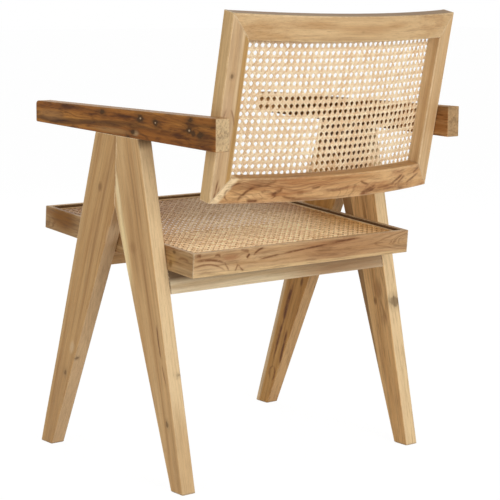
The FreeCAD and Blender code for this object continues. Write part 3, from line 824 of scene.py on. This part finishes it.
def reed_material():
    """Round reed: straw coloured, with fibres along the sides and faint bands."""
    fibre_size = (7, 7, 0.7)
    band_size = (26, 26, 26)
    band_step = (0.3, 0.7)
    brown, straw = linear(206, 168, 116), linear(232, 198, 148)
    tree = new_material("reed")
    fibres = tree.noise(tree.place(), fibre_size, 4, detail=3, roughness=0.6)
    bands = tree.noise(tree.place(), band_size, 8)
    colour = tree.mix(tree.remap(bands, *band_step), brown, straw)
    colour = tree.fibre_tone(colour, fibres, CANE_FIBRES, (0.80, 0.76, 0.70), CANE_LIGHT)
    rough = tree.uneven(fibres, least=0.40, swing=0.2)
    return tree.finish(colour, rough, specular=0.35, height=fibres, strength=0.25, distance=0.15)


def dowel_material():
    """Beech dowels: pale, with short darker flecks."""
    fleck_size = (2.5, 2.5, 0.8)
    cloud_size = (12, 12, 12)
    fleck_step = (0.58, 0.70)
    fleck_share = 0.4
    cloud_step = (0.3, 0.7)
    tan, pale, fleck = linear(214, 176, 132), linear(228, 196, 154), linear(160, 112, 72)
    tree = new_material("dowel_wood")
    flecks = tree.remap(tree.noise(tree.place(), fleck_size, 3), *fleck_step)
    clouds = tree.noise(tree.place(), cloud_size, 6)
    colour = tree.mix(tree.remap(clouds, *cloud_step), tan, pale)
    colour = tree.mix(tree.math("MULTIPLY", flecks, fleck_share), colour, fleck)
    rough = tree.uneven(clouds, least=0.5, swing=0.2)
    return tree.finish(colour, rough, specular=0.3, height=flecks, strength=0.2, distance=0.1)


def steel_material():
    """Plated steel screws: metal with fine scratches and a little dulling."""
    scratch_size = (3.0, 0.15, 0.15)
    dull_size = (2.5, 2.5, 2.5)
    dull_step = (0.4, 0.7)
    bright, grey = linear(186, 184, 176), linear(146, 142, 132)
    tree = new_material("screw_steel")
    scratches = tree.noise(tree.place(), scratch_size, 3, roughness=0.6)
    dull = tree.noise(tree.place(), dull_size, 6)
    colour = tree.mix(tree.remap(dull, *dull_step), bright, grey)
    tree.shade("Metallic", 1.0)
    rough = tree.uneven(dull, least=0.2, swing=0.3)
    return tree.finish(colour, rough, specular=0.5, height=scratches, strength=0.15, distance=0.05)


bpy.context.scene.view_settings.view_transform = "Standard"
make_camera()
make_surround()
make_floor()
make_lamps()

# Looks of the wood: tones, growth lines (pith beside or behind the shown face) and wander of the fibres
STRAIGHT = dict(
    pale=(228, 193, 143), mid=(206, 165, 113), late=(178, 132, 84), heart=(122, 82, 48), edge=(250, 226, 184),
    pith=(-40, 160), taper=0.01, ring=8.0, line_from=0.35, line_share=0.30,
    cloud_share=0.40, cloud_size=(210, 20, 16), heart_share=0.30, heart_from=0.58,
    wander=0.22, knot_share=0.5, edge_share=0.85,
    fibre=(0.78, 0.74, 0.69), fibre_size=(70, 2.0, 2.0), gloss=0.25,
)
CURLED = dict(
    STRAIGHT, late=(176, 124, 78), heart=(110, 66, 34),
    pith=(-24, 6), taper=0.07, ring=5.0, line_from=0.40, line_share=0.55,
    cloud_share=0.85, heart_share=0.45, wander=0.5, edge_share=0.5,
    fibre=(0.55, 0.49, 0.43), fibre_size=(60, 3.6, 3.6),
)
BROWN = dict(
    pale=(214, 164, 108), mid=(154, 104, 57), late=(84, 48, 14), heart=(54, 29, 6), edge=(190, 150, 106),
    pith=(-30, 30), taper=0.05, ring=6.0, line_from=0.45, line_share=0.45,
    cloud_share=0.9, cloud_size=(52, 11, 10), heart_share=0.65, heart_from=0.50,
    wander=0.7, knot_share=0.9, edge_share=0.4,
    fibre=(0.50, 0.43, 0.37), fibre_size=(50, 3.6, 3.6), gloss=0.15,
)
FAR_FRONT = dict(STRAIGHT, fibre=(0.60, 0.54, 0.48), fibre_size=(60, 3.4, 3.4))
FAR_REAR = dict(STRAIGHT, knot_share=0.55, fibre=(0.58, 0.52, 0.46), fibre_size=(60, 3.4, 3.4))

# Colours on the wood
# pale rear faces of the rear legs, partly painted light on the side that faces the rear
CREAM = (231, 205, 161)
GOLD = (214, 174, 118)
# painted shade, on the far legs where they lie in shadow
SHADE = (76, 42, 4)
STROKE = (98, 54, 22)  # dark lines of the figure
STROKE_GLOW = (156, 100, 56)  # beside them
KNOT = (72, 46, 14)
EYE = (214, 182, 146)
SEAM = (104, 68, 36)
RIM_TOP = (214, 178, 130)
# painted shade on the inner walls of the seat's rails
RIM_SHADE = (84, 56, 28)

# Sides of the chair, in mm to the left
near_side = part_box("left_front_leg")[1].x / MM
far_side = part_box("right_front_leg")[1].x / MM
rail_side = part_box("seat_left_rail")[1].x / MM

# Legs
foot_rim = ((Vector((0, 0, 0)), UP), 2.6, (120, 92, 64), 0.55)
leg_seam = ((near_side, -25, 565), REAR)
wood(
    "left_front_leg", LEFT, STRAIGHT, 1, tint=(0.82, 0.72, 0.58), seams=[leg_seam],
    faces=[(REAR, (212, 184, 146), 0.6)],
    bands=[(side_of("left_front_leg", -REAR), 9, GOLD, 0.6), foot_rim],
    knots=[((near_side, -190, 146), 2.0, False), ((268, -159, 177), 1.1, False)],
    patches=[
        ((256, -44, 414), 40, 14, (252, 228, 190), 0.9),
        ((near_side, -71, 499), 12, 8, (124, 86, 46), 0.6),
        ((near_side, -166, 197), 16, 9, (224, 194, 152), 0.6),
        ((near_side, -214, 84), 120, 30, (136, 94, 60), 0.13),
    ],
)
wood(
    "left_rear_leg", LEFT, STRAIGHT, 3, tint=(0.95, 0.89, 0.80), seams=[leg_seam],
    faces=[(REAR, CREAM, 0.75)],
    bands=[foot_rim],
    knots=[((near_side, 128, 114), 2.0, False), ((250, 131, 197), 1.5, False)],
    patches=[
        ((273, 3, 405), 135, 12, (255, 226, 168), 1.0),
        ((273, -19, 500), 70, 10, (255, 228, 176), 0.95),
        ((near_side, 29, 404), 16, 12, (148, 102, 58), 0.45),
        ((273, 30, 420), 130, 12, (170, 124, 74), 0.5),
        # painted shadow of the armrest at the top of the rear face
        ((262, 46, 592), 26, 6, (104, 76, 44), 0.85),
        ((260, 160, 50), 130, 24, (186, 146, 96), 0.5),
    ],
    strokes=[
        ((97, 284), (103, 251), (111, 221), 0.9, 0.8),
        ((112, 216), (118, 198), (126, 178), 0.8, 0.5),
    ],
)
wood(
    "right_front_leg", LEFT, FAR_FRONT, 2, tint=(0.84, 0.70, 0.44),
    faces=[(REAR, (206, 166, 118), 0.75)],
    bands=[(side_of("right_front_leg", -REAR), 9, (234, 206, 164), 0.8), foot_rim],
    patches=[
        # painted shade on the inner side: above the seat, seen through the cane, and under the seat
        ((far_side, -40, 570), 115, 90, SHADE, 0.95),
        ((far_side, -98, 330), 60, 30, (110, 70, 32), 0.5),
        ((far_side, -134, 268), 16, 6, (84, 50, 20), 0.7),
    ],
    strokes=[
        ((-152, 282), (-194, 168), (-230, 72), 1.5, 0.75),
        ((-161, 262), (-176, 225), (-191, 180), 2.8, 0.85),
        ((-191, 180), (-203, 151), (-214, 112), 1.8, 0.6),
        ((-176, 168), (-187, 135), (-203, 84), 2.0, 0.9),
        ((-218, 84), (-234, 66), (-231, 52), 1.3, 0.6),
        ((-218, 84), (-216, 68), (-226, 49), 1.3, 0.6),
    ],
)
wood(
    "right_rear_leg", LEFT, FAR_REAR, 4, tint=(1.05, 0.98, 0.85),
    # the dark inner front facet is painted shade; the cream rear face is partly painted light
    faces=[(REAR, CREAM, 0.75), (-REAR * SLIGHTLY, (104, 70, 38), 0.85)],
    bands=[foot_rim],
    knots=[((-263, 115, 264), 3.4, False)],
    patches=[
        ((far_side, 84, 284), 30, 16, (156, 108, 60), 0.6),
        ((far_side, 80, 262), 12, 7, (116, 70, 30), 0.7),
        ((far_side, 107, 234), 22, 9, (160, 116, 70), 0.5),
        # painted shade on the inner side above the seat, seen through the cane
        ((far_side, 10, 570), 115, 90, SHADE, 0.95),
    ],
    strokes=[((90, 270), (101, 250), (113, 226), 1.8, 0.3)],
)

# Armrests
wood(
    "left_armrest", LEFT, BROWN, 5, tint=(0.96, 0.78, 0.42),
    faces=[(UP, (178, 142, 100), 0.7), (REAR, (211, 185, 143), 0.85)],
    knots=[
        ((near_side, -64, 630), 2.6, False),
        ((near_side, 51, 626), 3.6, True),
        ((near_side, 95, 621), 2.8, True),
        ((near_side, 188, 615), 3.6, True),
        ((near_side, 218, 609), 3.2, False),
        ((near_side, 199, 611), 2.6, False),
        ((near_side, 191, 632), 2.4, False),
        ((near_side, 30, 602), 2.2, False),
        ((near_side, 15, 593), 1.8, False),
    ],
    patches=[
        ((near_side, -230, 616), 60, 14, (140, 106, 72), 0.5),
        ((near_side, -30, 600), 90, 10, (172, 128, 78), 0.8),
        ((near_side, 37, 600), 16, 9, (204, 168, 122), 0.8),
        ((near_side, 235, 603), 40, 22, (78, 44, 20), 0.5),
    ],
)
wood(
    "right_armrest", LEFT, dict(BROWN, gloss=0.04), 6,
    faces=[(UP, (206, 170, 124), 0.7), (REAR, (178, 148, 110), 0.8)],
    # the dark inner face is partly dark wood and partly painted shade
    patches=[((far_side, -30, 610), 260, 60, (86, 50, 8), 0.85)],
)

# Stretchers
wood("front_stretcher", REAR, dict(STRAIGHT, heart_share=0.6), 10, tint=(0.80, 0.76, 0.70))
stretcher_ends = [((end / MM, LEFT), 2.2, (92, 58, 30), 0.75) for end in end_centres("rear_stretcher")]
# painted shadow of the seat's rear rail along the top of the rear stretcher
stretcher_top_shade = (side_of("rear_stretcher", UP), 17.5, (92, 60, 32), 0.75)
wood(
    "rear_stretcher", REAR, STRAIGHT, 11, tint=(1.04, 1.28, 1.68),
    bands=[*stretcher_ends, stretcher_top_shade],
    patches=[((-170, 97, 340), 200, 60, (146, 98, 56), 0.55)],
)

# Seat frame
seat_seams = mitres("seat_front_rail", "seat_rear_rail")
wood(
    "seat_front_rail", REAR, STRAIGHT, 12, tint=(0.80, 0.76, 0.70), seams=seat_seams,
    # the inner wall is painted shade
    faces=[(REAR, RIM_SHADE, 0.8), (UP, RIM_TOP, 0.5)],
)
wood(
    "seat_rear_rail", REAR, CURLED, 13, tint=(0.74, 0.70, 0.69), seams=seat_seams,
    faces=[(UP, RIM_TOP, 0.8)],
    bands=[(side_of("seat_rear_rail", -UP), 6, (216, 184, 134), 0.7)],
    patches=[
        ((205, 164, 378), 70, 20, (214, 182, 138), 0.5),
        ((168, 164, 395), 28, 9, (152, 98, 58), 0.6),
        ((-90, 164, 388), 190, 30, (162, 114, 70), 0.6),
    ],
    strokes=[
        ((244, 393), (212, 394), (177, 385), 1.5, 0.8),
        ((243, 384), (205, 385), (175, 371), 1.1, 0.6),
        ((181, 388), (175, 380), (169, 371), 1.0, 0.5),
        ((241, 402), (235, 403), (229, 401), 1.8, 0.7),
        ((203, 400), (195, 401), (188, 397), 1.4, 0.7),
        ((134, 390), (130, 393), (126, 398), 1.5, 0.9),
        ((119, 393), (112, 399), (95, 405), 1.2, 0.9),
        ((148, 407), (137, 404), (127, 400), 2.2, 0.6),
        ((157, 369), (154, 375), (151, 382), 1.0, 0.6),
        ((151, 381), (145, 374), (137, 368), 1.0, 0.6),
        ((106, 385), (86, 387), (57, 390), 1.0, 0.7),
        ((61, 390), (3, 394), (-57, 399), 1.1, 0.85),
        ((-50, 398), (-93, 401), (-131, 403), 1.1, 0.8),
    ],
)
wood(
    "seat_left_rail", LEFT, CURLED, 14, tint=(0.70, 0.66, 0.60), seams=seat_seams,
    faces=[(UP, RIM_TOP, 0.6)],
    patches=[
        # painted shade of the front leg on the rail
        ((rail_side, -235, 424), 70, 40, (130, 80, 0), 0.95),
        ((rail_side, 104, 394), 18, 16, (182, 142, 84), 0.7),
        ((rail_side, 109, 404), 7, 5, (92, 60, 24), 0.7),
        ((rail_side, 99, 384), 7, 9, (112, 76, 30), 0.7),
    ],
    strokes=[
        ((92, 411), (124, 411), (156, 411), 0.9, 0.75),
        ((116, 392), (134, 396), (152, 391), 1.4, 0.45),
    ],
)
wood(
    "seat_right_rail", LEFT, STRAIGHT, 15, tint=(0.62, 0.56, 0.50), seams=seat_seams,
    # the inner wall is painted shade
    faces=[(LEFT, RIM_SHADE, 0.9), (UP, (176, 138, 92), 0.6)],
)

# Back frame
back_seams = mitres("back_top_rail", "back_bottom_rail")
wood(
    "back_top_rail", REAR, STRAIGHT, 16, tint=(0.80, 0.79, 0.79), seams=back_seams,
    # the dark top face is painted shade
    faces=[(UP, (132, 106, 76), 0.8)],
    knots=[((-7, 288, 772), 0.9, False)],
)
wood(
    "back_bottom_rail", REAR, CURLED, 17, tint=(0.86, 0.77, 0.69), seams=back_seams,
    faces=[(UP, (170, 128, 76), 0.7)],
    bands=[(back_seams[3], 11, (240, 214, 170), 0.8)],
    patches=[((-148, 231, 526), 18, 4, (150, 96, 60), 0.5)],
    strokes=[
        ((213, 497), (221, 509), (213, 521), 1.2, 0.5),
        ((213, 521), (205, 525), (194, 529), 1.2, 0.6),
        ((199, 495), (189, 507), (166, 521), 1.6, 0.8),
        ((151, 519), (140, 524), (125, 528), 1.5, 0.5),
        ((155, 509), (151, 511), (146, 514), 1.5, 0.5),
        ((134, 497), (127, 501), (135, 505), 1.6, 0.7),
        ((136, 503), (125, 508), (113, 515), 2.0, 0.8),
        ((115, 501), (101, 498), (82, 496), 1.2, 0.6),
        ((182, 497), (173, 496), (158, 496), 1.8, 0.8),
        ((85, 504), (77, 504), (69, 506), 2.6, 0.4),
        ((56, 512), (41, 512), (34, 513), 1.3, 0.5),
        ((31, 508), (-10, 505), (-37, 511), 1.8, 0.5),
        ((-54, 518), (-63, 513), (-81, 510), 1.3, 0.7),
        ((-55, 493), (-82, 497), (-101, 503), 1.6, 0.8),
        ((-59, 496), (-83, 502), (-99, 508), 1.6, 0.7),
        ((-96, 501), (-118, 502), (-136, 504), 1.1, 0.5),
        ((-136, 504), (-151, 511), (-169, 521), 1.8, 0.8),
        ((-146, 501), (-161, 508), (-175, 520), 1.4, 0.7),
        ((-177, 502), (-196, 510), (-219, 520), 1.4, 0.7),
        ((-197, 520), (-207, 525), (-215, 531), 1.4, 0.6),
    ],
)
wood(
    "back_left_stile", REAR, dict(STRAIGHT, cloud_share=0.45), 18, tint=(0.91, 0.98, 1.14), seams=back_seams,
    faces=[(LEFT, (222, 181, 120), 0.65), (UP, (112, 84, 56), 0.8)],
    bands=[(side_of("back_left_stile", -LEFT), 9, (172, 128, 60), 0.75)],
    knots=[((235, 250, 703), 1.5, False)],
    patches=[((234, 241, 655), 40, 12, (206, 172, 136), 0.4)],
    strokes=[
        ((236, 703), (240, 684), (239, 645), 0.9, 0.5),
        ((230, 701), (223, 685), (220, 668), 0.9, 0.45),
        ((234, 582), (238, 551), (239, 520), 0.9, 0.7),
        ((230, 572), (233, 552), (232, 532), 0.8, 0.4),
    ],
)
wood(
    "back_right_stile", REAR, STRAIGHT, 19, tint=(0.90, 0.91, 0.95), seams=back_seams,
    faces=[(UP, (150, 120, 84), 0.8)],
)

# Cane
back_webbing = Webbing(BowedPanel("back_cane"), strand_thickness["back"], row_shift, row_lean)
back_look = cane_material("back_cane", (227, 190, 146), (255, 236, 202), 0.25)
weave("back_webbing", "back_cane", back_webbing, back_look, 31)
seat_webbing = Webbing(FlatPanel("seat_cane"), strand_thickness["seat"], 0.0, 0.0)
# painted light and shade over the seat cane: brighter to the rear, darker to the front and the far side
seat_light_fades = [
    (REAR, -230, 30, (0.83, 0.74, 0.63), (1.37, 1.38, 1.25)),
    (LEFT, -230, -100, (0.66, 0.49, 0.30), WHITE),
    (Vector((0.8, -0.6, 0)), 90, 170, WHITE, (0.86, 0.76, 0.66)),
]
seat_look = cane_material("seat_cane", (208, 168, 121), (255, 232, 198), 0.6, seat_light_fades)
weave("seat_webbing", "seat_cane", seat_webbing, seat_look, 32)

# Reeds, dowels and screws
looks = {"_reed": reed_material(), "_dowels": dowel_material(), "_screws": steel_material()}
for name, piece in nodes.items():
    for ending, material in looks.items():
        if name.endswith(ending):
            paint(piece, material)
